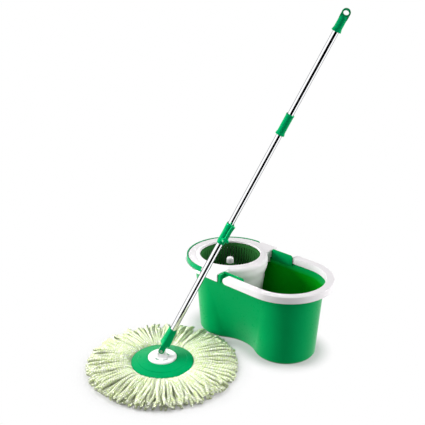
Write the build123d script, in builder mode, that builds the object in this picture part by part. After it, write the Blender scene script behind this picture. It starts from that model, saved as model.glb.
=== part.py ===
from build123d import *
import os
from math import atan2, cos, degrees, hypot, pi, radians, sin

os.makedirs("parts", exist_ok=True)

# Bucket plan: two round lobes joined by a waist, drawn in at the floor
lobe_offset = 109.0
rim_r = 116.3
neck_step = 10.8
side_draft = 14.5
waist_draw = 31.0
neck_r = rim_r - neck_step
base_lobe_r = neck_r - side_draft
waist_half = base_lobe_r - waist_draw
wall = 2.5
foot_depth = 2.0
foot_width = 21.0
floor_z = 5.0
neck_z = 199.0
rim_z = 211.0
rim_top = 231.0

# Raised panels inside the rim, one on each long side
panel_left = -36.0
panel_right = 43.0
panel_top = 240.0
panel_gap = 0.6
post_width = 9.0
post_top = 236.0

# White trim hooked over the rim of the open lobe
trim_reach = 18.2
trim_r = rim_r + trim_reach
trim_inner_r = rim_r - wall - 0.3 - wall
trim_low = 213.5
trim_top = rim_top + 3.0
trim_front_left = -16.0
trim_back_left = panel_right - 8
trim_end_r = 0.48 * (trim_top - trim_low)
trim_round = 2.2

# White deck over the other lobe, with the cup that holds the basket
deck_top = 237.0
deck_t = 2.5
deck_round = 4.0
ledge_width = 7.5
deck_recess_r = trim_r - ledge_width
deck_right = -37.0
ear_gap = 10.0
ear_left = ear_gap - lobe_offset
ledge_z = 221.0
ring_inset = 25.3
opening_r = rim_r - ring_inset
opening_top = 240.5
ring_width = 13.0
drum_shift = 5.0
drum_inset = 6.3
drum_r = rim_r - drum_inset
drum_round = 10.0
drum_z = 216.0
cup_neck_r = drum_r - 8.5
cup_neck_z = 180.0
cup_low_r = drum_r - 14
cup_low = 128.0
arm_width = 12.0
arm_height = 6.0
arm_count = 4
skirt_r = neck_r - 3.2

# Spin basket and the spindle it turns on
basket_lap = 4.0
basket_r = opening_r + basket_lap
basket_low_r = opening_r - 7
basket_top = deck_top - deck_t - 1.5
basket_floor = 141.0
basket_wall = 3.0
slat_count = 60
slat_gap = 2.2
column_r = 13.0
column_foot_r = 24.0
column_top = 208.0
drain_count = 12
drain_r = 6.0
spindle_r = 4.0
spindle_low = 116.0
boss_r = 12.0
boss_top = 137.0
washer_t = 1.5
bush_r = 7.0
run_fit = 0.06
knob_r = 10.5
knob_height = 17.0

# Carry handle folded round the deck
strap_t = 3.2
strap_gap = 0.6
strap_height = 15.4
strap_z = 229.8
stub_r = 3.0

# Mop head
mop_x = -75.7
mop_y = -315.5
plate_fit = 3.0
plate_r = opening_r - plate_fit
plate_low = 15.5
plate_edge = 20.5
step_r = plate_r - 18
hub_r = 40.0
hub_land = 3.0
seat_r = hub_r + hub_land
seat_z = 29.5
stem_r = 9.0
hub_top = 35.0
hub_floor = 32.5
pivot_z = 55.0
lug_t = 12.0
lug_r = 8.0
pin_r = 3.0
strand_r = 212.0
strand_root_r = plate_r - 32
clump_count = 44
holder_r = plate_r - 4
holder_low = 9.0

# Handle, measured along its own axis from the tilt pin
lean_angle = 26.0
lean_heading = 34.0
socket_low = 21.0
socket_top = 75.0
socket_wide = 25.0
socket_neck = 21.5
socket_corner = 3.5
socket_turn = 25.0
rib_count = 9
rib_pitch = 4.2
rib_width = 11.0
rib_height = 0.9
prong_t = 5.0
prong_gap = 0.3
lower_r = 8.8
tube_wall = 0.8
upper_r = 7.6
lower_low = 37.0
clamp_low = 374.0
clamp_top = 436.0
clamp_r = 10.8
clamp_turn = 57.0
collar_low = 706.0
collar_top = 762.0
collar_r = 10.2
grip_low = 984.0
grip_top = 1041.0
grip_r = 10.2
press_stroke = 200.0
middle_low = 297.0
lever_w = 9.0
lever_pivot_y = 15.8
lever_pivot_s = 390.0
lever_t = 5.0
drive_lead = 120.0
rod_w = 8.0
rod_t = 2.4
slot_play = 0.6

base_plane = Plane.XY
mop_plane = Plane(origin=(mop_x, mop_y, 0), x_dir=(cos(radians(lean_heading)), sin(radians(lean_heading)), 0))
lean_out = Vector(cos(radians(lean_heading)), sin(radians(lean_heading)), 0)
handle_dir = lean_out * sin(radians(lean_angle)) + Vector(0, 0, 1) * cos(radians(lean_angle))
pin_dir = Vector(0, 0, 1).cross(lean_out)
handle_plane = Plane(origin=(mop_x, mop_y, pivot_z), x_dir=-pin_dir, z_dir=handle_dir)
basket_plane = Plane(origin=(-lobe_offset, 0, 0))
drum_plane = Plane(origin=(drum_shift - lobe_offset, 0, 0))


def spun(plane, angle):
    """The same plane turned about its own normal."""
    x_dir = plane.x_dir * cos(radians(angle)) + plane.y_dir * sin(radians(angle))
    return Plane(origin=plane.origin, x_dir=x_dir, z_dir=plane.z_dir)


socket_plane = spun(handle_plane, socket_turn)
clamp_plane = spun(handle_plane, -clamp_turn)


def lobes(z, radius, waist):
    """Closed outline of two lobes; a waist under the radius draws the long sides in."""
    drawn = radius - waist
    if drawn > 0.01:
        side_centre = (lobe_offset**2 - drawn**2) / (2 * drawn)
        side_r = side_centre - waist
        share = radius / (radius + side_r)
        meet_x = lobe_offset * (1 - share)
        meet_y = side_centre * share
    else:
        meet_x = lobe_offset
        meet_y = radius
    half = radians((180 - degrees(atan2(meet_y, lobe_offset - meet_x))) / 2)
    mid_x = lobe_offset + radius * cos(half)
    mid_y = radius * sin(half)
    end = lobe_offset + radius
    with BuildSketch(base_plane.offset(z)) as outline:
        with BuildLine():
            ThreePointArc((end, 0), (mid_x, mid_y), (meet_x, meet_y))
            if drawn > 0.01:
                ThreePointArc((meet_x, meet_y), (0, waist), (-meet_x, meet_y))
            else:
                Line((meet_x, meet_y), (-meet_x, meet_y))
            ThreePointArc((-meet_x, meet_y), (-mid_x, mid_y), (-end, 0))
            ThreePointArc((-end, 0), (-mid_x, -mid_y), (-meet_x, -meet_y))
            if drawn > 0.01:
                ThreePointArc((-meet_x, -meet_y), (0, -waist), (meet_x, -meet_y))
            else:
                Line((-meet_x, -meet_y), (meet_x, -meet_y))
            ThreePointArc((meet_x, -meet_y), (mid_x, -mid_y), (end, 0))
        make_face()
    return outline.sketch.face()


def stadium(z, radius):
    return lobes(z, radius, radius)


def bucket_end(z, radius, right):
    """The left end of the bucket's plan, cut off square at the given X."""
    with BuildSketch(base_plane.offset(z)) as outline:
        with Locations((-lobe_offset, 0)):
            Circle(radius)
        with Locations(((right - lobe_offset) / 2, 0)):
            Rectangle(right + lobe_offset, 2 * radius)
        with Locations((right, 0)):
            Rectangle(2 * radius, 2 * radius, align=(Align.MIN, Align.CENTER), mode=Mode.SUBTRACT)
    return outline.sketch


# bucket: the moulded shell
with BuildPart() as bucket_shell:
    loft([lobes(0, base_lobe_r - 3, waist_half - 3), lobes(floor_z, base_lobe_r, waist_half)])
    loft([lobes(floor_z, base_lobe_r, waist_half), stadium(neck_z, neck_r)])
    loft([stadium(neck_z, neck_r), stadium(rim_z, rim_r)])
    extrude(stadium(rim_z, rim_r), amount=rim_top - rim_z)
    with BuildSketch(base_plane):
        with Locations((-lobe_offset, 0), (lobe_offset, 0)):
            Circle(base_lobe_r - foot_width)
    extrude(amount=foot_depth, mode=Mode.SUBTRACT)
    loft(
        [lobes(floor_z, base_lobe_r - wall - 1, waist_half - wall - 1), stadium(neck_z, neck_r - wall)],
        mode=Mode.SUBTRACT,
    )
    loft([stadium(neck_z, neck_r - wall), stadium(rim_z, rim_r - wall)], mode=Mode.SUBTRACT)
    extrude(stadium(rim_z, rim_r - wall), amount=rim_top - rim_z, mode=Mode.SUBTRACT)
    panel_y = trim_inner_r - panel_gap - wall / 2
    panel_low = (neck_z + rim_z) / 2
    for side in (-1, 1):
        with BuildSketch(Plane.XZ.offset(-side * panel_y - wall / 2)):
            with Locations(((panel_left + panel_right) / 2, (panel_low + panel_top) / 2)):
                RectangleRounded(panel_right - panel_left, panel_top - panel_low, 7)
        extrude(amount=wall)
    with BuildSketch(base_plane.offset(trim_low)):
        with Locations((panel_left, -panel_y)):
            Rectangle(post_width, trim_r - wall - panel_y, align=(Align.MIN, Align.MAX))
    extrude(amount=post_top - trim_low)


def keep(piece, label):
    """Name the finished piece and write it out."""
    piece.part.label = label
    export_step(piece.part, f"parts/{label}.step")


def turned(plane, points):
    """A closed outline of radius and height pairs, standing on the axis of the given plane."""
    upright = Plane(origin=plane.origin, x_dir=plane.x_dir, z_dir=-plane.y_dir)
    with BuildSketch(upright) as outline:
        with BuildLine():
            Polyline(*points, close=True)
        make_face()
    return outline.sketch


def axis_of(plane):
    return Axis(plane.origin, plane.z_dir)


keep(bucket_shell, "bucket_shell")

# rim_trim: white channel over the rim of the open lobe
trim_height = trim_top - trim_low
trim_end = lobe_offset + 2 * trim_r
with BuildPart() as rim_trim:
    extrude(stadium(trim_low, trim_r), amount=trim_height)
    extrude(stadium(trim_low, trim_inner_r), amount=trim_height, mode=Mode.SUBTRACT)
    with BuildPart(mode=Mode.PRIVATE) as reach:
        for side, left in ((-1, trim_front_left), (1, trim_back_left)):
            with BuildSketch(Plane.XZ):
                with Locations(((left + trim_end) / 2, trim_low + trim_height / 2)):
                    RectangleRounded(trim_end - left, trim_height, trim_end_r)
            extrude(amount=-side * 2 * trim_r)
    add(reach.part, mode=Mode.INTERSECT)
    fillet(rim_trim.edges(), trim_round)
    with BuildPart(mode=Mode.PRIVATE) as channel:
        extrude(stadium(trim_low, trim_r - wall), amount=rim_top - trim_low)
        extrude(stadium(trim_low, trim_inner_r + wall), amount=rim_top - trim_low, mode=Mode.SUBTRACT)
        with BuildSketch(base_plane.offset(trim_low)):
            for side, left in ((-1, trim_front_left), (1, trim_back_left)):
                with Locations((left + trim_end_r, side * trim_r)):
                    Rectangle(trim_end, 2 * trim_r, align=(Align.MIN, Align.CENTER))
        extrude(amount=trim_height, mode=Mode.INTERSECT)
    add(channel.part, mode=Mode.SUBTRACT)
    with BuildSketch(base_plane.offset(trim_low)):
        for side in (-1, 1):
            with Locations((trim_front_left - 1, side * (rim_r - wall / 2))):
                Rectangle(lobe_offset, wall + 0.6, align=(Align.MIN, Align.CENTER))
    extrude(amount=rim_top - trim_low, mode=Mode.SUBTRACT)
keep(rim_trim, "rim_trim")

# spinner_deck: white cover of the other lobe with the basket cup
inner_top = deck_top - deck_t
with BuildPart() as drum:
    drum_bend = [
        (
            drum_r - drum_round + drum_round * sin(radians(step)),
            deck_top - drum_round + drum_round * cos(radians(step)),
        )
        for step in range(0, 91, 15)
    ]
    drawn_in = [
        (
            cup_neck_r + (drum_r - cup_neck_r) * (1 + cos(radians(step))) / 2,
            drum_z + (cup_neck_z - drum_z) * step / 180,
        )
        for step in range(0, 181, 20)
    ]
    drum_outline = [
        (0, deck_top),
        *drum_bend,
        *drawn_in,
        (cup_low_r, cup_low),
        (cup_low_r - wall, cup_low),
        *[(radius - wall, height) for radius, height in reversed(drawn_in)],
        (drum_r - wall, deck_top - drum_round),
        (drum_r - drum_round + wall, inner_top),
        (0, inner_top),
    ]
    revolve(turned(drum_plane, drum_outline), axis_of(drum_plane))
    with BuildPart(mode=Mode.PRIVATE) as clear:
        inside = wall + 1
        loft([lobes(floor_z, base_lobe_r - inside - 1, waist_half - inside - 1), stadium(neck_z, neck_r - inside)])
        loft([stadium(neck_z, neck_r - inside), stadium(rim_z, rim_r - inside)])
        extrude(stadium(rim_z, rim_r - inside), amount=deck_top - rim_z)
    add(clear.part, mode=Mode.INTERSECT)

flange_in = 0.78 * drum_r
with BuildPart() as spinner_deck:
    extrude(bucket_end(ledge_z - deck_t, deck_recess_r, deck_right), amount=deck_top - ledge_z + deck_t)
    extrude(bucket_end(trim_low, trim_r, deck_right), amount=ledge_z - trim_low)
    with BuildSketch(base_plane.offset(trim_low)):
        with Locations(((ear_left + deck_right) / 2, 0)):
            Rectangle(deck_right - ear_left, 2 * trim_r)
    extrude(amount=deck_top - trim_low)
    top_face = spinner_deck.faces().sort_by(Axis.Z)[-1]
    fillet(top_face.edges(), deck_round)
    extrude(
        bucket_end(trim_low, deck_recess_r - wall, deck_right - wall),
        amount=inner_top - trim_low,
        mode=Mode.SUBTRACT,
    )
    extrude(
        bucket_end(trim_low, trim_r - wall, deck_right - wall),
        amount=ledge_z - deck_t - trim_low,
        mode=Mode.SUBTRACT,
    )
    with BuildSketch(base_plane.offset(trim_low)):
        with Locations(((ear_left + deck_right) / 2, 0)):
            Rectangle(deck_right - ear_left - 2 * wall, 2 * (trim_r - wall))
        with Locations((deck_right, 0)):
            Rectangle(3 * wall, 2 * flange_in)
    extrude(amount=inner_top - trim_low, mode=Mode.SUBTRACT)
    add(drum.part)
    with BuildSketch(base_plane.offset(neck_z + 0.8)) as skirts:
        for side in (-1, 1):
            with Locations((deck_right, side * (skirt_r - wall / 2))):
                Rectangle(0.7 * lobe_offset, wall, align=(Align.MAX, Align.CENTER))
            with Locations((deck_right, side * (flange_in + skirt_r) / 2)):
                Rectangle(wall, skirt_r - flange_in, align=(Align.MAX, Align.CENTER))
    extrude(amount=inner_top - neck_z)
    with BuildSketch(base_plane.offset(rim_top)) as seat:
        with Locations((-lobe_offset, 0)):
            Circle(rim_r)
            Circle(rim_r - wall, mode=Mode.SUBTRACT)
        with Locations((0, 0)):
            Rectangle(2 * lobe_offset, 3 * rim_r, align=(Align.CENTER, Align.CENTER), mode=Mode.SUBTRACT)
        with Locations((deck_right - 2 * wall, rim_r - wall / 2), (deck_right - 2 * wall, wall / 2 - rim_r)):
            Rectangle(lobe_offset + deck_right - 2 * wall, wall, align=(Align.MAX, Align.CENTER))
    extrude(amount=inner_top - rim_top + 0.5)
    with Locations((-lobe_offset, 0, inner_top)):
        Cylinder(opening_r, 4 * deck_t, mode=Mode.SUBTRACT)
    ring_outline = [
        (opening_r, inner_top),
        (opening_r, opening_top - 1.5),
        (opening_r + 0.5, opening_top - 0.5),
        (opening_r + 1.5, opening_top),
        (opening_r + 0.35 * ring_width, opening_top - 0.3),
        (opening_r + 0.65 * ring_width, (opening_top + deck_top) / 2),
        (opening_r + ring_width, deck_top - 0.2),
        (opening_r + ring_width, inner_top),
    ]
    revolve(turned(basket_plane, ring_outline), axis_of(basket_plane))
    with Locations((-lobe_offset, 0, cup_low - 6)):
        Cylinder(boss_r, boss_top - cup_low + 6, align=(Align.CENTER, Align.CENTER, Align.MIN))
    with BuildSketch(base_plane.offset(cup_low)) as arms:
        with Locations((-lobe_offset, 0)):
            with PolarLocations(0, arm_count, start_angle=45):
                Rectangle(2 * cup_low_r, arm_width, align=(Align.MIN, Align.CENTER))
        with Locations((drum_shift - lobe_offset, 0)):
            Circle(cup_low_r - wall / 2, mode=Mode.INTERSECT)
    extrude(amount=arm_height)
    with Locations((-lobe_offset, 0, cup_low - 6)):
        Cylinder(
            spindle_r,
            boss_top - cup_low + 6,
            align=(Align.CENTER, Align.CENTER, Align.MIN),
            mode=Mode.SUBTRACT,
        )
    for side in (-1, 1):
        with BuildSketch(Plane.XZ.offset(-side * (deck_recess_r + 1))):
            with Locations((-lobe_offset, strap_z)):
                Circle(stub_r + 0.3)
        extrude(amount=side * (wall + 2), mode=Mode.SUBTRACT)
    with BuildSketch(base_plane.offset(trim_low)) as rim_slots:
        for side in (-1, 1):
            with Locations((-lobe_offset, side * (rim_r - wall / 2))):
                Rectangle(lobe_offset, wall + 1, align=(Align.MIN, Align.CENTER))
    extrude(amount=rim_top - trim_low, mode=Mode.SUBTRACT)
keep(spinner_deck, "spinner_deck")

# basket_spindle: steel axle pressed into the deck's boss
spindle_top = column_top - 6
with BuildPart(Plane(origin=(-lobe_offset, 0, cup_low - 6))) as basket_spindle:
    Cylinder(spindle_r, spindle_top - cup_low + 6, align=(Align.CENTER, Align.CENTER, Align.MIN))
    chamfer(basket_spindle.edges().group_by(Axis.Z)[-1], 0.8)
keep(basket_spindle, "basket_spindle")

# thrust_washer: nylon washer that the basket turns on
with BuildPart(Plane(origin=(-lobe_offset, 0, boss_top))) as thrust_washer:
    Cylinder(boss_r - 1, washer_t, align=(Align.CENTER, Align.CENTER, Align.MIN))
    Cylinder(spindle_r + run_fit, washer_t, align=(Align.CENTER, Align.CENTER, Align.MIN), mode=Mode.SUBTRACT)
keep(thrust_washer, "thrust_washer")

# spin_basket: slatted basket with its centre column
basket_low = boss_top + washer_t
bush_top = spindle_top - 3
basket_outline = [
    (bush_r, basket_low),
    (bush_r + 6, basket_low),
    (bush_r + 7, basket_floor - wall),
    (basket_low_r, basket_floor - wall),
    (basket_r - basket_wall, basket_top - 6),
    (basket_r, basket_top - 6),
    (basket_r, basket_top),
    (basket_r - 6, basket_top),
    (basket_r - 6, basket_top - 6),
    (basket_low_r - basket_wall, basket_floor),
    (column_foot_r, basket_floor),
    (column_r + 2, basket_floor + 22),
    (column_r, column_top),
    (bush_r, column_top),
]
with BuildPart() as spin_basket:
    revolve(turned(basket_plane, basket_outline), axis_of(basket_plane))
    with BuildSketch(base_plane.offset(basket_floor + 5)) as slots:
        with Locations((-lobe_offset, 0)):
            with PolarLocations(basket_low_r - 7, slat_count):
                Rectangle(24, slat_gap, align=(Align.MIN, Align.CENTER))
    extrude(amount=basket_top - basket_floor - 15, mode=Mode.SUBTRACT)
    with BuildSketch(base_plane.offset(basket_floor - 2 * wall)) as drains:
        with Locations((-lobe_offset, 0)):
            with PolarLocations((column_foot_r + basket_low_r) / 2, drain_count):
                SlotCenterToCenter(26, 2 * drain_r)
    extrude(amount=4 * wall, mode=Mode.SUBTRACT)
keep(spin_basket, "spin_basket")

# basket_bush: plain bearing pressed into the column
with BuildPart(Plane(origin=(-lobe_offset, 0, basket_low))) as basket_bush:
    Cylinder(bush_r, bush_top - basket_low, align=(Align.CENTER, Align.CENTER, Align.MIN))
    Cylinder(
        spindle_r + run_fit,
        bush_top - basket_low,
        align=(Align.CENTER, Align.CENTER, Align.MIN),
        mode=Mode.SUBTRACT,
    )
keep(basket_bush, "basket_bush")

# spindle_clip: ring on the spindle that keeps the basket down
with BuildPart(Plane(origin=(-lobe_offset, 0, bush_top + 0.1))) as spindle_clip:
    Cylinder(bush_r - 0.6, 1.2, align=(Align.CENTER, Align.CENTER, Align.MIN))
    Cylinder(spindle_r, 1.2, align=(Align.CENTER, Align.CENTER, Align.MIN), mode=Mode.SUBTRACT)
keep(spindle_clip, "spindle_clip")

# basket_knob: white cap on the column
knob_outline = [
    (0, column_top - 4),
    (bush_r, column_top - 4),
    (bush_r, column_top),
    (knob_r, column_top),
    (knob_r, column_top + knob_height - 4),
    (knob_r - 1.5, column_top + knob_height - 1.2),
    (knob_r - 4, column_top + knob_height),
    (0, column_top + knob_height),
]
with BuildPart() as basket_knob:
    revolve(turned(basket_plane, knob_outline), axis_of(basket_plane))
keep(basket_knob, "basket_knob")

# carry_handle: half-round strap on two stubs
strap_inner = deck_recess_r + strap_gap
strap_end = strap_height / 2
with BuildPart() as carry_handle:
    with BuildSketch(base_plane.offset(strap_z - strap_height / 2)):
        with Locations((-lobe_offset, 0)):
            Circle(strap_inner + strap_t)
            Circle(strap_inner, mode=Mode.SUBTRACT)
            Rectangle(
                2 * trim_r,
                4 * trim_r,
                align=(Align.MIN, Align.CENTER),
                mode=Mode.SUBTRACT,
            )
        for side in (-1, 1):
            with Locations((-lobe_offset, side * (strap_inner + strap_t / 2))):
                Rectangle(strap_end, strap_t, align=(Align.MIN, Align.CENTER))
    extrude(amount=strap_height)
    tips = carry_handle.edges().filter_by(Axis.Y).group_by(Axis.X)[-1]
    fillet(tips, strap_end - 0.05)
    for side in (-1, 1):
        with BuildSketch(Plane.XZ.offset(-side * strap_inner)):
            with Locations((-lobe_offset, strap_z)):
                Circle(stub_r)
        extrude(amount=side * (strap_gap + wall))
keep(carry_handle, "carry_handle")

# swivel_hub: white disc with the lug that carries the tilt pin
hub_outline = [
    (0, seat_z - 3.1),
    (stem_r, seat_z - 3.1),
    (stem_r, seat_z),
    (hub_r, seat_z),
    (hub_r, hub_top - 2),
    (hub_r - 2, hub_top),
    (hub_r - 6, hub_top),
    (hub_r - 9, hub_floor),
    (0, hub_floor),
]
lug_plane = Plane(origin=(mop_x, mop_y, pivot_z), x_dir=lean_out, z_dir=-pin_dir)
lug_foot = hub_floor - pivot_z - 1
with BuildPart() as swivel_hub:
    revolve(turned(mop_plane, hub_outline), axis_of(mop_plane))
    with BuildSketch(lug_plane):
        Circle(lug_r)
        with BuildLine():
            Polyline((-lug_r, 0), (-lug_r - 6, lug_foot), (lug_r + 6, lug_foot), (lug_r, 0), close=True)
        make_face()
        Circle(pin_r + run_fit, mode=Mode.SUBTRACT)
    extrude(amount=lug_t / 2, both=True)
    with BuildSketch(mop_plane.offset(seat_z - 4)):
        Circle(2.2)
    extrude(amount=9, mode=Mode.SUBTRACT)
keep(swivel_hub, "swivel_hub")

# hub_washer and hub_screw: hold the hub down through the plate
with BuildPart(mop_plane.offset(seat_z - 5.1)) as hub_washer:
    Cylinder(stem_r + 6, 2, align=(Align.CENTER, Align.CENTER, Align.MIN))
    Cylinder(2.2, 2, align=(Align.CENTER, Align.CENTER, Align.MIN), mode=Mode.SUBTRACT)
keep(hub_washer, "hub_washer")

with BuildPart(mop_plane.offset(seat_z - 8.1)) as hub_screw:
    Cylinder(4.5, 3, align=(Align.CENTER, Align.CENTER, Align.MIN))
    Cylinder(2.2, 12, align=(Align.CENTER, Align.CENTER, Align.MIN))
keep(hub_screw, "hub_screw")

# mop_plate: domed green plate
plate_outline = [
    (stem_r + run_fit, seat_z),
    (hub_r + 1, seat_z),
    (hub_r + 1, seat_z + 1.5),
    (seat_r + 1, seat_z + 1.5),
    (step_r - 1, plate_edge + 5),
    (step_r, plate_edge + 3.4),
    (plate_r - 3, plate_edge),
    (plate_r, plate_edge - 2),
    (plate_r, plate_low),
    (plate_r - 2.5, plate_low),
    (plate_r - 2.5, plate_low + 3),
    (step_r - 8, plate_low + 3),
    (step_r - 13, seat_z - 3),
    (stem_r + run_fit, seat_z - 3),
]
with BuildPart() as mop_plate:
    revolve(turned(mop_plane, plate_outline), axis_of(mop_plane))
keep(mop_plate, "mop_plate")

# refill_ring: ring that the strands are bound to, snapped under the plate
refill_outline = [
    (step_r - 7, plate_low + 3),
    (holder_r, plate_low + 3),
    (holder_r, holder_low + 3),
    (holder_r - 4, holder_low),
    (step_r - 4, holder_low),
    (step_r - 7, holder_low + 3),
]
with BuildPart() as refill_ring:
    revolve(turned(mop_plane, refill_outline), axis_of(mop_plane))
keep(refill_ring, "refill_ring")

# mop_strands: the spread of yarn, parted into clumps at its edge
strand_outline = [
    (strand_root_r, 1),
    (strand_root_r, holder_low),
    (holder_r - 4, holder_low),
    (holder_r + 1.2, holder_low + 3),
    (holder_r + 1.2, plate_low - 0.3),
    (plate_r + 0.6, plate_low - 0.3),
    (plate_r + 2, plate_edge - 1),
    (plate_r + 6, plate_edge + 2),
    (strand_r * 0.6, plate_edge + 4.5),
    (strand_r * 0.8, plate_edge + 2),
    (strand_r - 14, plate_edge - 2),
    (strand_r - 4, 14),
    (strand_r, 8),
    (strand_r - 3, 0),
    (strand_root_r + 12, 0),
]
with BuildPart() as mop_strands:
    revolve(turned(mop_plane, strand_outline), axis_of(mop_plane))
    with BuildSketch(mop_plane) as partings:
        with PolarLocations(strand_r, clump_count):
            with BuildLine():
                Polyline((4, -5), (4, 5), (-13, 0.8), (-13, -0.8), close=True)
            make_face()
    extrude(amount=plate_edge, mode=Mode.SUBTRACT)
keep(mop_strands, "mop_strands")

# fork_socket: green socket with two prongs on the tilt pin
side_plane = Plane(origin=handle_plane.origin, x_dir=handle_plane.y_dir, z_dir=handle_plane.x_dir)
rivet_plane = Plane(origin=handle_plane.origin, x_dir=-socket_plane.y_dir, z_dir=-socket_plane.x_dir)
rivet_s = socket_top - 14
prong_in = lug_t / 2 + prong_gap
with BuildPart() as fork_socket:
    with BuildSketch(socket_plane.offset(socket_low)):
        RectangleRounded(socket_wide, socket_wide, socket_corner)
    with BuildSketch(socket_plane.offset(socket_top)):
        RectangleRounded(socket_neck, socket_neck, 2 * socket_corner)
    loft()
    for rib in range(rib_count):
        rib_s = socket_low + 11 + rib * rib_pitch
        share = (rib_s - socket_low) / (socket_top - socket_low)
        rib_y = (socket_wide + (socket_neck - socket_wide) * share) / 2 + rib_height
        with BuildSketch(socket_plane.offset(rib_s)):
            with Locations((0, -rib_y)):
                Rectangle(rib_width, 4, align=(Align.CENTER, Align.MIN))
        extrude(amount=rib_pitch / 2)
    for side in (-1, 1):
        with BuildSketch(side_plane.offset(side * (prong_in + prong_t / 2))):
            Circle(lug_r)
            with Locations((0, (socket_low + 4) / 2)):
                Rectangle(2 * lug_r, socket_low + 4)
        extrude(amount=prong_t / 2, both=True)
    with BuildSketch(side_plane):
        Circle(pin_r)
    extrude(amount=socket_wide, both=True, mode=Mode.SUBTRACT)
    with BuildSketch(handle_plane.offset(lower_low)):
        Circle(lower_r)
    extrude(amount=socket_top, mode=Mode.SUBTRACT)
    with BuildSketch(rivet_plane):
        with Locations((0, rivet_s)):
            Circle(1.8)
    extrude(amount=socket_wide, mode=Mode.SUBTRACT)
keep(fork_socket, "fork_socket")

# tilt_pin: steel pin pressed through both prongs
with BuildPart() as tilt_pin:
    with BuildSketch(side_plane):
        Circle(pin_r)
    extrude(amount=prong_in + prong_t, both=True)
    for side in (-1, 1):
        with BuildSketch(side_plane.offset(side * (prong_in + prong_t))):
            Circle(pin_r + 1.4)
        extrude(amount=side * 1.5)
keep(tilt_pin, "tilt_pin")


def tube(radius, thickness, low, top):
    with BuildPart() as pipe:
        with BuildSketch(handle_plane.offset(low)):
            Circle(radius)
            Circle(radius - thickness, mode=Mode.SUBTRACT)
        extrude(amount=top - low)
    return pipe


# lower_tube: chromed tube in the socket, topped by the clamp
lower_top = clamp_top - 8
with BuildPart() as lower_tube:
    add(tube(lower_r, tube_wall, lower_low, lower_top).part)
    with BuildSketch(rivet_plane):
        with Locations((0, rivet_s)):
            Circle(1.8)
    extrude(amount=socket_wide, mode=Mode.SUBTRACT)
keep(lower_tube, "lower_tube")

# socket_rivet: fixes the tube in the socket
with BuildPart() as socket_rivet:
    with BuildSketch(rivet_plane.offset(lower_r - tube_wall)):
        with Locations((0, rivet_s)):
            Circle(1.8)
    extrude(amount=socket_neck / 2 + 1 - lower_r + tube_wall)
    with BuildSketch(rivet_plane.offset(socket_neck / 2 + 1)):
        with Locations((0, rivet_s)):
            Circle(3)
    extrude(amount=1.2)
keep(socket_rivet, "socket_rivet")

# rod_anchor: plug in the foot of the lower tube that holds the drive rod
shank_r = 3.0
anchor_top = lower_low + 20
with BuildPart() as rod_anchor:
    with BuildSketch(handle_plane.offset(lower_low)):
        Circle(lower_r - tube_wall)
    extrude(amount=anchor_top - lower_low)
    with BuildSketch(handle_plane.offset(lower_low + 4)):
        Circle(shank_r)
    extrude(amount=anchor_top, mode=Mode.SUBTRACT)
keep(rod_anchor, "rod_anchor")


def twisted(width, thickness, low, top):
    """The drive strip between two heights, turned once in each lead."""
    turn = 360 * (low - middle_low) / drive_lead
    foot = handle_plane.offset(low)
    guide = Helix(drive_lead, top - low, rod_w, center=foot.origin, direction=handle_dir)
    with BuildPart() as strip:
        with BuildLine() as spine:
            Line(foot.origin, handle_plane.offset(top).origin)
        with BuildSketch(spun(foot, turn)) as section:
            Rectangle(width, thickness)
        sweep(sections=section.sketch, path=spine.line, binormal=guide)
    return strip.part


# drive_rod: twisted strip that turns the handle's strokes into spin
rod_top = middle_low + 33
with BuildPart() as drive_rod:
    add(twisted(rod_w, rod_t, anchor_top, rod_top))
    with BuildSketch(handle_plane.offset(lower_low + 4)):
        Circle(shank_r)
    extrude(amount=anchor_top - lower_low - 3)
keep(drive_rod, "drive_rod")

# clamp_body: green sleeve on the top of the lower tube
clamp_mid = (clamp_low + clamp_top) / 2
clamp_outline = [
    (lower_r, clamp_low),
    (clamp_r - 0.8, clamp_low),
    (clamp_r, clamp_low + 3),
    (clamp_r - 0.6, clamp_mid),
    (clamp_r, clamp_top - 3),
    (clamp_r - 1, clamp_top),
    (upper_r + 0.1, clamp_top),
    (upper_r + 0.1, lower_top),
    (lower_r, lower_top),
]
lever_plane = Plane(origin=handle_plane.origin, x_dir=clamp_plane.y_dir, z_dir=clamp_plane.x_dir)
lug_in = lever_w / 2 + 0.3
lug_side = 3.2
with BuildPart() as clamp_body:
    revolve(turned(handle_plane, clamp_outline), axis_of(handle_plane))
    for side in (-1, 1):
        with BuildSketch(lever_plane.offset(side * (lug_in + lug_side / 2))):
            with Locations((lever_pivot_y, lever_pivot_s)):
                Circle(4.6)
            with Locations((lever_pivot_y, lever_pivot_s)):
                Rectangle(lever_pivot_y - lower_r / 2, 9.2, align=(Align.MAX, Align.CENTER))
            with Locations((lever_pivot_y, lever_pivot_s)):
                Circle(1.6, mode=Mode.SUBTRACT)
        extrude(amount=lug_side / 2, both=True)
    with BuildSketch(handle_plane.offset(clamp_low)):
        Circle(lower_r)
    extrude(amount=lower_top - clamp_low, mode=Mode.SUBTRACT)
keep(clamp_body, "clamp_body")

# clamp_pin: lever pivot
with BuildPart() as clamp_pin:
    with BuildSketch(lever_plane):
        with Locations((lever_pivot_y, lever_pivot_s)):
            Circle(1.6)
    extrude(amount=lug_in + lug_side, both=True)
keep(clamp_pin, "clamp_pin")

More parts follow.
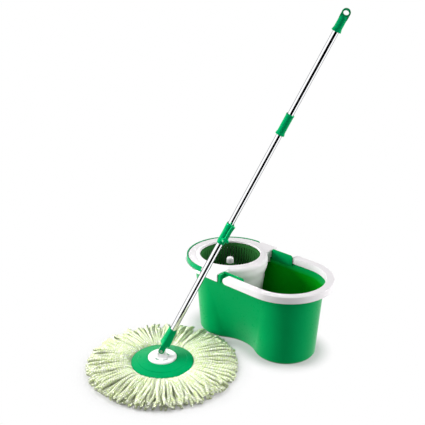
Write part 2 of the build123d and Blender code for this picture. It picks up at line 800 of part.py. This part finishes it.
# lock_lever: flip lever, shut along the sleeve
lever_in = clamp_r + 0.6
lever_out = lever_in + lever_t
lever_top = clamp_top + 1
with BuildPart() as lock_lever:
    with BuildSketch(lever_plane):
        with BuildLine():
            Line((lever_in, lever_pivot_s), (lever_in, clamp_top - 26))
            ThreePointArc((lever_in, clamp_top - 26), (lever_in + 0.8, clamp_top - 12), (lever_in + 3.4, lever_top))
            ThreePointArc(
                (lever_in + 3.4, lever_top),
                (lever_out + 1.4, lever_top + 1.2),
                (lever_out + 3, lever_top - 1.6),
            )
            ThreePointArc(
                (lever_out + 3, lever_top - 1.6),
                (lever_out + 0.6, clamp_top - 14),
                (lever_out, clamp_top - 26),
            )
            Line((lever_out, clamp_top - 26), (lever_out, lever_pivot_s + 12))
            Line((lever_out, lever_pivot_s + 12), (lever_pivot_y + 4.1, lever_pivot_s))
            Line((lever_pivot_y + 4.1, lever_pivot_s), (lever_in, lever_pivot_s))
        make_face()
        with Locations((lever_pivot_y, lever_pivot_s)):
            Circle(4.1)
            Circle(1.6 + run_fit, mode=Mode.SUBTRACT)
    extrude(amount=lever_w / 2, both=True)
keep(lock_lever, "lock_lever")

# slide_bush: guide at the foot of the middle tube, running in the lower tube
bore_r = lower_r - tube_wall
with BuildPart() as slide_bush:
    with BuildSketch(handle_plane.offset(middle_low - 14)):
        Circle(bore_r - run_fit)
        Circle(rod_w / 2 + 1, mode=Mode.SUBTRACT)
    extrude(amount=14)
keep(slide_bush, "slide_bush")

# middle_tube, collar and upper_tube: the sliding half of the handle
joint_s = (collar_low + collar_top) / 2
grip_bore_top = grip_top - 26
middle_tube = tube(upper_r, tube_wall, middle_low, joint_s)
keep(middle_tube, "middle_tube")
upper_tube = tube(upper_r, tube_wall, joint_s, grip_bore_top)
keep(upper_tube, "upper_tube")

nut_low = middle_low + 1
nut_top = middle_low + 11
with BuildPart() as drive_nut:
    with BuildSketch(handle_plane.offset(nut_low)):
        Circle(upper_r - tube_wall)
    extrude(amount=nut_top - nut_low)
    add(twisted(rod_w + slot_play, rod_t + slot_play, nut_low - 1, nut_top + 1), mode=Mode.SUBTRACT)
keep(drive_nut, "drive_nut")

collar_outline = [
    (upper_r, collar_low),
    (collar_r + 1.8, collar_low),
    (collar_r + 1.6, collar_low + 2),
    (collar_r, collar_low + 8),
    (collar_r, collar_top - 6),
    (collar_r + 0.7, collar_top - 1),
    (collar_r + 0.2, collar_top),
    (upper_r, collar_top),
]
with BuildPart() as joint_collar:
    revolve(turned(handle_plane, collar_outline), axis_of(handle_plane))
keep(joint_collar, "joint_collar")

with BuildPart() as joint_spigot:
    add(tube(upper_r - tube_wall, 1.6, collar_low + 8, collar_top - 8).part)
keep(joint_spigot, "joint_spigot")

# top_grip: end grip with its hanging loop
loop_r = 10.5
loop_s = grip_top - loop_r
grip_outline = [
    (upper_r, grip_low),
    (grip_r + 1.9, grip_low),
    (grip_r + 1.6, grip_low + 2),
    (grip_r, grip_low + 8),
    (grip_r - 0.4, grip_bore_top + 3),
    (grip_r - 3, grip_bore_top + 8),
    (0, grip_bore_top + 8),
    (0, grip_bore_top),
    (upper_r, grip_bore_top),
]
with BuildPart() as top_grip:
    revolve(turned(handle_plane, grip_outline), axis_of(handle_plane))
    with BuildSketch(side_plane):
        with Locations((0, loop_s)):
            Circle(loop_r)
            Ellipse(6.6, 5.4, mode=Mode.SUBTRACT)
    extrude(amount=4.2, both=True)
    with BuildSketch(side_plane):
        with Locations((0, loop_s)):
            Ellipse(6.6, 5.4)
    extrude(amount=2 * grip_r, both=True, mode=Mode.SUBTRACT)
keep(top_grip, "top_grip")
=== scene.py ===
import random
from math import cos, pi, radians, sin

import bmesh
import bpy
from mathutils import Matrix, Vector


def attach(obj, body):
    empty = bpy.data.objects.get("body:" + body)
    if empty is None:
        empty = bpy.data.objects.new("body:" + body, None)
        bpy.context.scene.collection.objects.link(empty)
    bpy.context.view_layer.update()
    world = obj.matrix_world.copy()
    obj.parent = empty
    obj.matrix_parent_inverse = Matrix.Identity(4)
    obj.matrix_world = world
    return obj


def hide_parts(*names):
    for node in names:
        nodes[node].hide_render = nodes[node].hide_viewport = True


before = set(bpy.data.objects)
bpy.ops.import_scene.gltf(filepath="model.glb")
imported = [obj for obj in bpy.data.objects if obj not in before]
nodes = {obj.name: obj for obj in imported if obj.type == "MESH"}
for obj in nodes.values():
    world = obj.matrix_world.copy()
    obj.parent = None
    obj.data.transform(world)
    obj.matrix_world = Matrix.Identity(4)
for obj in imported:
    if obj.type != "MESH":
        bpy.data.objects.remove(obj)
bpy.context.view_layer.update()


# Bucket shell: one injection moulding in green polypropylene, polished outside.
# It stands on its own base, and the trim and the deck clip over its rim.
def linear(code):
    """A hex colour as linear light."""
    parts = [int(code[k : k + 2], 16) / 255 for k in (1, 3, 5)]
    return (*[p / 12.92 if p <= 0.04045 else ((p + 0.055) / 1.055) ** 2.4 for p in parts], 1)


def add(tree, kind, inputs=None, **settings):
    """One node: a socket given as an input is linked, and anything else is its value.

    A colour Mix has its share at input 0, its colours at 6 and 7 and its result at output 2.
    """
    node = tree.nodes.new("ShaderNode" + kind)
    for name, value in settings.items():
        setattr(node, name, value)
    for name, value in (inputs or {}).items():
        if isinstance(value, bpy.types.NodeSocket):
            tree.links.new(value, node.inputs[name])
        else:
            node.inputs[name].default_value = value
    return node


def moulded_polypropylene(name, colour, deep, painted_edge_highlight, roughness, peel_mm, sheen="#FFFFFF"):
    """Moulded plastic: clouded pigment, orange peel, edges painted paler as a painted highlight, a
    faint tinted gloss.
    """
    cloud_mm = 50
    mark_mm = 6.25
    edge_round = 0.0007
    material = bpy.data.materials.new(name)
    material.use_nodes = True
    tree = material.node_tree
    shader = tree.nodes["Principled BSDF"]
    place = add(tree, "TexCoord").outputs["Object"]
    cloud = add(
        tree, "TexNoise", {"Vector": place, "Scale": 1000 / cloud_mm, "Detail": 2}
    ).outputs[0]
    pigment = add(
        tree, "Mix", {0: cloud, 6: linear(colour), 7: linear(deep)}, data_type="RGBA"
    ).outputs[2]
    # Rounded edges catch the light, and their colour is painted a little paler there as a painted
    # highlight
    rounded = add(tree, "Bevel", {"Radius": edge_round}, samples=8).outputs["Normal"]
    plain = add(tree, "NewGeometry").outputs["Normal"]
    turned = add(
        tree, "VectorMath", {0: rounded, 1: plain}, operation="DOT_PRODUCT"
    ).outputs["Value"]
    edge_highlight_share = add(
        tree,
        "MapRange",
        {"Value": turned, "From Min": 0.99, "From Max": 0.8, "To Min": 0.0, "To Max": 0.55},
    ).outputs[0]
    finished = add(
        tree, "Mix", {0: edge_highlight_share, 6: pigment, 7: linear(painted_edge_highlight)}, data_type="RGBA"
    ).outputs[2]
    tree.links.new(finished, shader.inputs["Base Color"])
    # Handling marks change the gloss
    marks = add(
        tree, "TexNoise", {"Vector": place, "Scale": 1000 / mark_mm, "Detail": 3}
    ).outputs[0]
    gloss = add(
        tree,
        "MapRange",
        {
            "Value": marks,
            "From Min": 0.3,
            "From Max": 0.7,
            "To Min": roughness - 0.04,
            "To Max": roughness + 0.05,
        },
    ).outputs[0]
    tree.links.new(gloss, shader.inputs["Roughness"])
    peel = add(
        tree, "TexNoise", {"Vector": place, "Scale": 1000 / peel_mm, "Detail": 1}
    ).outputs[0]
    skin = add(
        tree, "Bump", {"Height": peel, "Normal": rounded, "Strength": 0.05, "Distance": 0.0002}
    ).outputs[0]
    tree.links.new(skin, shader.inputs["Normal"])
    shader.inputs["IOR"].default_value = 1.49
    shader.inputs["Specular IOR Level"].default_value = 0.06
    shader.inputs["Specular Tint"].default_value = linear(sheen)
    return material


def finish(material, *names):
    """Give the CAD pieces of these names their finish."""
    for name in names:
        nodes[name].material_slots[0].material = material


green_shell = moulded_polypropylene(
    "polypropylene_moulded_gloss_green",
    colour="#009652",
    deep="#00914E",
    painted_edge_highlight="#0EAA68",
    roughness=0.3,
    peel_mm=3.0,
    sheen="#08E0A0",
)
finish(green_shell, "bucket_shell")
# The inside is painted a deeper, yellower green, as painted shade for the light that
# bounces inside the bucket. What faces a lobe's axis or the waist, below the rim, is inside.
lobe_x = 0.109
rim_fade_top = 0.212
rim_fade_bottom = 0.196
tree = green_shell.node_tree
shader = tree.nodes["Principled BSDF"]
spot = add(tree, "SeparateXYZ", {0: add(tree, "TexCoord").outputs["Object"]}).outputs
nearest = add(tree, "Clamp", {"Value": spot["X"], "Min": -lobe_x, "Max": lobe_x}).outputs[0]
across = add(tree, "Math", {0: spot["X"], 1: nearest}, operation="SUBTRACT").outputs[0]
outward = add(tree, "CombineXYZ", {"X": across, "Y": spot["Y"]}).outputs[0]
facing = add(
    tree,
    "VectorMath",
    {0: outward, 1: add(tree, "NewGeometry").outputs["True Normal"]},
    operation="DOT_PRODUCT",
).outputs["Value"]
inward = add(
    tree,
    "MapRange",
    {"Value": facing, "From Min": -0.002, "From Max": -0.03, "To Min": 0.0, "To Max": 1.0},
).outputs[0]
below_rim = add(
    tree,
    "MapRange",
    {
        "Value": spot["Z"],
        "From Min": rim_fade_top,
        "From Max": rim_fade_bottom,
        "To Min": 0.0,
        "To Max": 1.0,
    },
).outputs[0]
painted_inner_shade = add(tree, "Math", {0: inward, 1: below_rim}, operation="MULTIPLY").outputs[0]
outer_skin = shader.inputs["Base Color"].links[0].from_socket
shell_with_painted_inner_shade = add(
    tree, "Mix", {0: painted_inner_shade, 6: outer_skin, 7: linear("#039212")}, data_type="RGBA"
).outputs[2]
tree.links.new(shell_with_painted_inner_shade, shader.inputs["Base Color"])

# Rim trim and spinner deck: white polypropylene mouldings with a satin gloss.
# The trim is a channel pushed over the rim; the deck clips over the other lobe
# and carries the cup in which the basket turns.
white_plastic = moulded_polypropylene(
    "polypropylene_moulded_satin_white",
    colour="#E3E0E2",
    deep="#DFDCDE",
    painted_edge_highlight="#ECEAEB",
    roughness=0.33,
    peel_mm=2.4,
)
finish(white_plastic, "rim_trim", "spinner_deck")


# Spindle, thrust washer, clip and bush: what the basket turns on. The spindle is
# ground steel pressed into the boss; washer and bush are nylon; the clip is steel.
def drawn_metal(name, colour, roughness, grain_mm, turn):
    """Metal with fine drawn lines along one axis, which spread its highlights."""
    line_mm = 125
    tarnish_mm = 200 / 7
    material = bpy.data.materials.new(name)
    material.use_nodes = True
    tree = material.node_tree
    shader = tree.nodes["Principled BSDF"]
    place = add(tree, "TexCoord").outputs["Object"]
    grain = 1000 / grain_mm
    along = add(
        tree,
        "Mapping",
        {"Vector": place, "Rotation": turn, "Scale": (grain, grain, 1000 / line_mm)},
    ).outputs[0]
    lines = add(tree, "TexNoise", {"Vector": along, "Scale": 1, "Detail": 2}).outputs[0]
    gloss = add(
        tree,
        "MapRange",
        {
            "Value": lines,
            "From Min": 0.3,
            "From Max": 0.7,
            "To Min": roughness * 0.8,
            "To Max": roughness * 1.3,
        },
    ).outputs[0]
    tree.links.new(gloss, shader.inputs["Roughness"])
    tarnish = add(
        tree, "TexNoise", {"Vector": place, "Scale": 1000 / tarnish_mm, "Detail": 3}
    ).outputs[0]
    shade = add(
        tree,
        "MapRange",
        {"Value": tarnish, "From Min": 0.35, "From Max": 0.65, "To Min": 0.97, "To Max": 1.0},
    ).outputs[0]
    tint = add(
        tree, "Mix", {0: shade, 6: linear("#C9CBCE"), 7: linear(colour)}, data_type="RGBA"
    ).outputs[2]
    tree.links.new(tint, shader.inputs["Base Color"])
    shader.inputs["Metallic"].default_value = 1.0
    return material


upright = (0.0, 0.0, 0.0)
bright_steel = drawn_metal(
    "steel_ground_bright", colour="#C6C8CB", roughness=0.28, grain_mm=0.6, turn=upright
)
nylon = moulded_polypropylene(
    "nylon_moulded_natural",
    colour="#E6E1D2",
    deep="#DDD7C6",
    painted_edge_highlight="#EFEBE0",
    roughness=0.42,
    peel_mm=1.2,
)
finish(bright_steel, "basket_spindle", "spindle_clip")
finish(nylon, "thrust_washer", "basket_bush")

# Spin basket and knob: the basket is a dark green slatted moulding that spins on
# the spindle; its white knob is pressed into the centre column.
green_basket = moulded_polypropylene(
    "polypropylene_moulded_satin_dark_green",
    colour="#2F6A33",
    deep="#285F2C",
    painted_edge_highlight="#4A8A50",
    roughness=0.38,
    peel_mm=2.0,
    sheen="#60D890",
)
finish(green_basket, "spin_basket")
finish(white_plastic, "basket_knob")

# Carry handle: a strap moulded in green polypropylene, folded down round the deck.
# It turns on two moulded stubs.
green_parts = moulded_polypropylene(
    "polypropylene_moulded_satin_green",
    colour="#009A5C",
    deep="#009558",
    painted_edge_highlight="#12AB74",
    roughness=0.3,
    peel_mm=2.0,
    sheen="#08E0A0",
)
finish(green_parts, "carry_handle")

# Hub and plate: the white hub turns on the domed green plate and is held from
# below by a steel washer and screw. Four curved slots go through the hub's dish
# round the foot of its lug.
mop_centre = Vector((-0.0757, -0.3155, 0))
lean_heading = radians(34)
slot_inner_r = 0.0172
slot_outer_r = 0.0228
slot_bottom_z = 0.029
slot_top_z = 0.036
slot_arc = radians(44)
slot_steps = 12
slot_turns = (30, 106, 210, 286)
weld_gap = 1e-6
shape = bmesh.new()
for turn in slot_turns:
    heading = Matrix.Translation(mop_centre) @ Matrix.Rotation(lean_heading + radians(turn), 4, "Z")
    section = shape.faces.new(
        [
            shape.verts.new(heading @ Vector((r, 0, z)))
            for r, z in (
                (slot_inner_r, slot_bottom_z),
                (slot_outer_r, slot_bottom_z),
                (slot_outer_r, slot_top_z),
                (slot_inner_r, slot_top_z),
            )
        ]
    )
    bmesh.ops.spin(
        shape, geom=[section], cent=mop_centre, axis=(0, 0, 1), angle=slot_arc, steps=slot_steps
    )
bmesh.ops.recalc_face_normals(shape, faces=shape.faces)
mesh = bpy.data.meshes.new("hub_slots")
shape.to_mesh(mesh)
shape.free()
cutter = bpy.data.objects.new("hub_slots", mesh)
shape = bmesh.new()
shape.from_mesh(nodes["swivel_hub"].data)
bmesh.ops.remove_doubles(shape, verts=shape.verts, dist=weld_gap)
mesh = bpy.data.meshes.new("hub_plain")
shape.to_mesh(mesh)
shape.free()
plain_hub = bpy.data.objects.new("hub_plain", mesh)
for piece in (cutter, plain_hub):
    bpy.context.scene.collection.objects.link(piece)
cut = plain_hub.modifiers.new("slots", "BOOLEAN")
cut.operation = "DIFFERENCE"
cut.object = cutter
slotted = plain_hub.evaluated_get(bpy.context.evaluated_depsgraph_get())
hub = bpy.data.objects.new("hub", bpy.data.meshes.new_from_object(slotted))
for piece in (cutter, plain_hub):
    bpy.data.objects.remove(piece)
bpy.context.scene.collection.objects.link(hub)
hub.data.shade_smooth()
hub.data.set_sharp_from_angle(angle=radians(20))
hub.data.materials.clear()
hub.data.materials.append(white_plastic)
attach(hub, "hub")
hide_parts("swivel_hub")
finish(bright_steel, "hub_washer", "hub_screw")
# The plate is the same green plastic as the other parts, coloured darker here as painted shade on
# its upturned dome
green_plate_painted_shade = moulded_polypropylene(
    "polypropylene_moulded_satin_green_painted_shade",
    colour="#008A50",
    deep="#00854C",
    painted_edge_highlight="#10A068",
    roughness=0.3,
    peel_mm=2.0,
    sheen="#08E0A0",
)
finish(green_plate_painted_shade, "mop_plate")
finish(white_plastic, "refill_ring")


# Strands: some 450 twisted microfibre yarns, white and lime, bound to the ring
# under the plate. They lie in four courses and part into clumps.
def microfibre_yarn(name, ground, fleck, share):
    """Two-ply yarn: slanting plies 6 mm apart, flecked, matt, with a soft sheen."""
    plies_along = 24
    # Fibres are drawn 1.4 mm thick, far coarser than real ones, so that they show
    fibre_mm = 10 / 7
    fleck_mm = 100 / 17
    material = bpy.data.materials.new(name)
    material.use_nodes = True
    tree = material.node_tree
    shader = tree.nodes["Principled BSDF"]
    coords = add(tree, "TexCoord").outputs
    slope = add(
        tree,
        "VectorMath",
        {0: coords["UV"], 1: (2 * pi * plies_along, 2 * pi, 0)},
        operation="DOT_PRODUCT",
    ).outputs["Value"]
    ply = add(tree, "Math", {0: slope}, operation="SINE").outputs[0]
    fibre = add(
        tree, "TexNoise", {"Vector": coords["Object"], "Scale": 1000 / fibre_mm, "Detail": 2}
    ).outputs[0]
    patch = add(
        tree, "TexNoise", {"Vector": coords["Object"], "Scale": 1000 / fleck_mm, "Detail": 2}
    ).outputs[0]
    flecked = add(
        tree,
        "MapRange",
        {
            "Value": patch,
            "From Min": 0.35,
            "From Max": 0.65,
            "To Min": share - 0.34,
            "To Max": share + 0.5,
        },
    ).outputs[0]
    tint = add(
        tree, "Mix", {0: flecked, 6: linear(ground), 7: linear(fleck)}, data_type="RGBA"
    ).outputs[2]
    # The grooves between the plies are coloured darker, as painted shade
    painted_ply_shade = add(
        tree,
        "MapRange",
        {"Value": ply, "From Min": -1.0, "From Max": 0.2, "To Min": 0.74, "To Max": 1.0},
    ).outputs[0]
    shaded = add(
        tree, "Mix", {0: 1.0, 6: tint, 7: painted_ply_shade}, data_type="RGBA", blend_type="MULTIPLY"
    ).outputs[2]
    tree.links.new(shaded, shader.inputs["Base Color"])
    relief = add(tree, "Math", {0: fibre, 1: ply}, operation="ADD").outputs[0]
    nap = add(tree, "Bump", {"Height": relief, "Strength": 0.7, "Distance": 0.0006}).outputs[0]
    tree.links.new(nap, shader.inputs["Normal"])
    shader.inputs["Roughness"].default_value = 0.95
    shader.inputs["Sheen Weight"].default_value = 0.25
    shader.inputs["Sheen Roughness"].default_value = 0.5
    shader.inputs["Specular IOR Level"].default_value = 0.2
    return material


# Each course, from the lowest up: how far it reaches, the share of lime yarns, and
# its height in millimetres at eight stations, at the bend of the tip and at the end
courses = (
    (0.212, 0.8, (3.2, 3.8, 3.8, 3.8, 3.8, 3.8, 3.8, 3.8, 3.8, 3.8)),
    (0.213, 0.7, (5.0, 5.0, 8.0, 10.0, 10.5, 10.2, 9.8, 9.2, 8.6, 7.4)),
    (0.213, 0.55, (5.3, 5.3, 11.0, 16.0, 17.0, 16.4, 15.4, 14.2, 12.6, 10.4)),
    (0.210, 0.34, (5.5, 5.6, 13.0, 21.0, 22.8, 22.2, 20.8, 18.8, 16.4, 12.4)),
)
stations = (0.064, 0.079, 0.0895, 0.0985, 0.118, 0.142, 0.166, 0.188)
thickness = (0.5, 0.7, 0.9, 0.95, 1.0, 1.0, 1.05, 1.15, 1.3, 0.95)
tip_length = 0.007
yarn_r = 0.0038
yarns_per_course = 112
clump_count = 44
clump_pull = 0.5
# How far the yarns stray, in radians, and how unevenly they are cut, laid and spun
wander_spread = 0.05
curl_spread = 0.03
wave_spread = 0.011
wavy = range(4, 8)
uneven_end = (-0.003, 0.011)
uneven_height = (-0.0015, 0.0025)
uneven_girth = (0.88, 1.14)
uneven_start = (-0.2, 0.2)
draw = random.Random(11)
yarns = bpy.data.curves.new("mop_yarns", "CURVE")
yarns.dimensions = "3D"
yarns.bevel_depth = yarn_r
yarns.bevel_resolution = 1
yarns.use_fill_caps = True
for course, (reach, lime_share, heights) in enumerate(courses):
    for k in range(yarns_per_course):
        start = 2 * pi * (k + course / 2 + draw.uniform(*uneven_start)) / yarns_per_course
        parting = clump_pull / clump_count * sin(clump_count * (start - lean_heading))
        wander = draw.gauss(0, wander_spread)
        curl = draw.gauss(0, curl_spread)
        lift = draw.uniform(*uneven_height) * course
        end = reach - draw.uniform(*uneven_end)
        path = yarns.splines.new("NURBS")
        path.points.add(len(heights) - 1)
        for j, point in enumerate(path.points):
            radius = (*stations, end - tip_length, end)[j]
            share = (radius - stations[0]) / (reach - stations[0])
            angle = start + share**2 * (parting + wander)
            angle += curl if j >= len(stations) else 0
            angle += draw.gauss(0, wave_spread) if j in wavy else 0
            girth = thickness[j] * draw.uniform(*uneven_girth)
            height = max(heights[j] / 1000 + lift * share, yarn_r * girth)
            point.co = (
                mop_centre.x + radius * cos(angle),
                mop_centre.y + radius * sin(angle),
                height,
                1,
            )
            point.radius = girth
        path.order_u = 4
        path.use_endpoint_u = True
        path.resolution_u = 2
        path.material_index = 1 if draw.random() < lime_share else 0
yarn_route = bpy.data.objects.new("mop_yarns", yarns)
bpy.context.scene.collection.objects.link(yarn_route)
bpy.context.view_layer.update()
strands = bpy.data.objects.new("strands", bpy.data.meshes.new_from_object(yarn_route))
bpy.data.objects.remove(yarn_route)
bpy.context.scene.collection.objects.link(strands)
strands.data.materials.clear()
strands.data.materials.append(
    microfibre_yarn("microfibre_yarn_twisted_white", "#EAECE2", "#CADC88", 0.34)
)
strands.data.materials.append(
    microfibre_yarn("microfibre_yarn_twisted_lime", "#C0DA5C", "#EDF0D2", 0.38)
)
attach(strands, "mop_head")
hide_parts("mop_strands")

# Socket, pin and rivet: the green socket's two prongs straddle the hub's lug on a
# steel pin, and a rivet holds the lower tube in the socket.
finish(green_parts, "fork_socket")
finish(bright_steel, "tilt_pin", "socket_rivet")

# Tubes: seamed steel, bright chromed, so that each shows a dark stripe between
# white bands. The middle tube slides in the lower one.
lean_angle = radians(26)
along_handle = (
    Matrix.Rotation(lean_heading, 3, "Z") @ Matrix.Rotation(lean_angle, 3, "Y")
).inverted()
chrome = drawn_metal(
    "steel_chromed_bright",
    colour="#E8E9EB",
    roughness=0.05,
    grain_mm=0.5,
    turn=tuple(along_handle.to_euler()),
)
finish(chrome, "lower_tube", "middle_tube", "upper_tube")
# The sides are shaded as if they mirrored a dim backdrop, so that the tubes show
# against white from every direction
tree = chrome.node_tree
shader = tree.nodes["Principled BSDF"]
turned_away = add(tree, "LayerWeight", {"Blend": 0.5}).outputs["Facing"]
dimmed = add(
    tree,
    "MapRange",
    {"Value": turned_away, "From Min": 0.46, "From Max": 0.66, "To Min": 1.0, "To Max": 0.1},
).outputs[0]
plating = shader.inputs["Base Color"].links[0].from_socket
dim_sided = add(
    tree, "Mix", {0: 1.0, 6: plating, 7: dimmed}, data_type="RGBA", blend_type="MULTIPLY"
).outputs[2]
tree.links.new(dim_sided, shader.inputs["Base Color"])
shader.inputs["Specular Tint"].default_value = linear("#6A6A6A")

# Drive: a twisted steel strip anchored in the lower tube, a nylon nut in the
# middle tube that it turns, and the nylon bush that guides the tube.
finish(bright_steel, "drive_rod")
finish(nylon, "rod_anchor", "drive_nut", "slide_bush")

# Clamp, lever, collar and grip: green mouldings on the tubes. The lever flips on
# a steel pin; a nylon spigot under the collar joins the two upper tubes.
finish(green_parts, "clamp_body", "lock_lever", "joint_collar", "top_grip")
finish(bright_steel, "clamp_pin")
finish(nylon, "joint_spigot")
# Two cheeks carry the grip's sides straight up to the eye. Their places along the
# handle are measured from the tilt pin.
tilt_pin_z = 0.055
neck_s = 1.009
neck_half = 0.0085
shoulder_s = 1.016
cheek_half = 0.0103
cheek_thick = 0.0082
eye_s = 1.0305
eye_wide = 0.0066
eye_high = 0.0054
eye_steps = 16
outline = [
    (-neck_half, neck_s),
    (neck_half, neck_s),
    (cheek_half, shoulder_s),
    (cheek_half, eye_s),
]
for k in range(eye_steps + 1):
    turn = pi * k / eye_steps
    outline.append((eye_wide * cos(turn), eye_s - eye_high * sin(turn)))
outline += [(-cheek_half, eye_s), (-cheek_half, shoulder_s)]
shape = bmesh.new()
corners = [shape.verts.new((across, -cheek_thick / 2, s)) for across, s in outline]
lifted = bmesh.ops.extrude_face_region(shape, geom=[shape.faces.new(corners)])["geom"]
bmesh.ops.translate(
    shape,
    verts=[v for v in lifted if isinstance(v, bmesh.types.BMVert)],
    vec=(0, cheek_thick, 0),
)
bmesh.ops.recalc_face_normals(shape, faces=shape.faces)
to_handle = Matrix.Translation(mop_centre + Vector((0, 0, tilt_pin_z)))
bmesh.ops.transform(
    shape, verts=shape.verts, matrix=to_handle @ along_handle.inverted().to_4x4()
)
mesh = bpy.data.meshes.new("grip_cheeks")
shape.to_mesh(mesh)
shape.free()
mesh.materials.append(green_parts)
cheeks = bpy.data.objects.new("grip_cheeks", mesh)
bpy.context.scene.collection.objects.link(cheeks)
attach(cheeks, "upper_handle")

# Floor, flag, lamps and camera: a white sweep between two low softboxes, the
# stronger at the camera's left, and a narrow one above the mop head. Mirrors see
# a black flag and no lamps, as chrome is photographed in a studio.
scene = bpy.context.scene
scene.view_settings.view_transform = "Standard"


def seen_directly(tree):
    """1 for rays from the camera, from mirrors and through glass, else 0."""
    rays = add(tree, "LightPath").outputs
    mirrored = add(
        tree, "Math", {0: rays["Is Camera Ray"], 1: rays["Is Glossy Ray"]}, operation="MAXIMUM"
    ).outputs[0]
    return add(
        tree, "Math", {0: mirrored, 1: rays["Is Transmission Ray"]}, operation="MAXIMUM"
    ).outputs[0]


paper_glow = 0.22
shade_reach = 0.055
sweep = bpy.data.materials.new("paper_sweep_white")
sweep.use_nodes = True
tree = sweep.node_tree
tree.nodes.clear()
paper = add(tree, "BsdfDiffuse", {"Color": linear("#B4B4B4")}).outputs[0]
glow = add(tree, "Math", {0: seen_directly(tree), 1: paper_glow}, operation="MULTIPLY").outputs[0]
glowing = add(tree, "Emission", {"Strength": glow}).outputs[0]
near = add(tree, "AddShader", {0: paper, 1: glowing}).outputs[0]
# Away from the pieces, where nothing close by shades it, the paper is plain white
unshaded = add(tree, "AmbientOcclusion", {"Distance": shade_reach}, samples=16).outputs["AO"]
open_paper = add(
    tree,
    "MapRange",
    {"Value": unshaded, "From Min": 0.62, "From Max": 0.99, "To Min": 0.0, "To Max": 1.0},
).outputs[0]
open_share = add(
    tree, "Math", {0: open_paper, 1: seen_directly(tree)}, operation="MULTIPLY"
).outputs[0]
far = add(tree, "Emission", {"Strength": 1.0}).outputs[0]
both = add(tree, "MixShader", {0: open_share, 1: near, 2: far}).outputs[0]
add(tree, "OutputMaterial", {"Surface": both})
floor_r = 6.0
floor_middle = (0, -0.1, -0.0003)
shape = bmesh.new()
bmesh.ops.create_circle(shape, segments=96, radius=floor_r, cap_ends=True)
bmesh.ops.translate(shape, verts=shape.verts, vec=floor_middle)
mesh = bpy.data.meshes.new("floor")
shape.to_mesh(mesh)
shape.free()
mesh.materials.append(sweep)
floor = bpy.data.objects.new("floor", mesh)
floor.visible_glossy = False
scene.collection.objects.link(floor)

ambient_level = 0.5
mirror_level = 1.3
flag_way = (0.73, -0.68, 0.03)
world = bpy.data.worlds.new("studio")
scene.world = world
world.use_nodes = True
tree = world.node_tree
tree.nodes.clear()
ambient = add(
    tree, "Background", {"Color": linear("#FFFFFF"), "Strength": ambient_level}
).outputs[0]
white = add(tree, "Background", {"Color": linear("#FFFFFF"), "Strength": 1.0}).outputs[0]
sky = add(tree, "MixShader", {0: seen_directly(tree), 1: ambient, 2: white}).outputs[0]
# The flag stands at the camera's right, with a soft edge
toward = add(tree, "TexCoord").outputs["Generated"]
ahead = add(tree, "VectorMath", {0: toward, 1: flag_way}, operation="DOT_PRODUCT").outputs["Value"]
beside_flag = add(
    tree,
    "MapRange",
    {"Value": ahead, "From Min": 0.64, "From Max": 0.7, "To Min": mirror_level, "To Max": 0.0},
).outputs[0]
flag = add(tree, "Background", {"Color": linear("#FFFFFF"), "Strength": beside_flag}).outputs[0]
mirrored = add(tree, "LightPath").outputs["Is Glossy Ray"]
studio = add(tree, "MixShader", {0: mirrored, 1: sky, 2: flag}).outputs[0]
add(tree, "OutputWorld", {"Surface": studio})


def softbox(name, place, target, width, watts):
    """A square lamp aimed at a point, which mirrors don't see."""
    lamp = bpy.data.lights.new(name, "AREA")
    lamp.size = width
    lamp.energy = watts
    box = bpy.data.objects.new(name, lamp)
    box.location = place
    box.rotation_euler = (Vector(target) - Vector(place)).to_track_quat("-Z", "Y").to_euler()
    box.visible_glossy = False
    scene.collection.objects.link(box)
    return box


set_middle = (0, -0.1, 0.12)
softbox("left", (-1.55, -1.3, 0.8), set_middle, width=0.9, watts=58)
softbox("right", (1.6, 1.25, 0.9), set_middle, width=0.9, watts=38)
head_light = softbox("head", (0.22, -0.28, 1.55), (-0.04, -0.27, 0.0), width=0.3, watts=0.3)
head_light.data.spread = radians(18)

camera_down = radians(20.92)
camera_heading = radians(43.82)
lens = bpy.data.cameras.new("camera")
lens.lens = 64.94
lens.sensor_width = 36.0
camera = bpy.data.objects.new("camera", lens)
camera.location = (1.3196, -1.5659, 1.1793)
camera.rotation_euler = (pi / 2 - camera_down, 0, camera_heading)
scene.collection.objects.link(camera)
scene.camera = camera
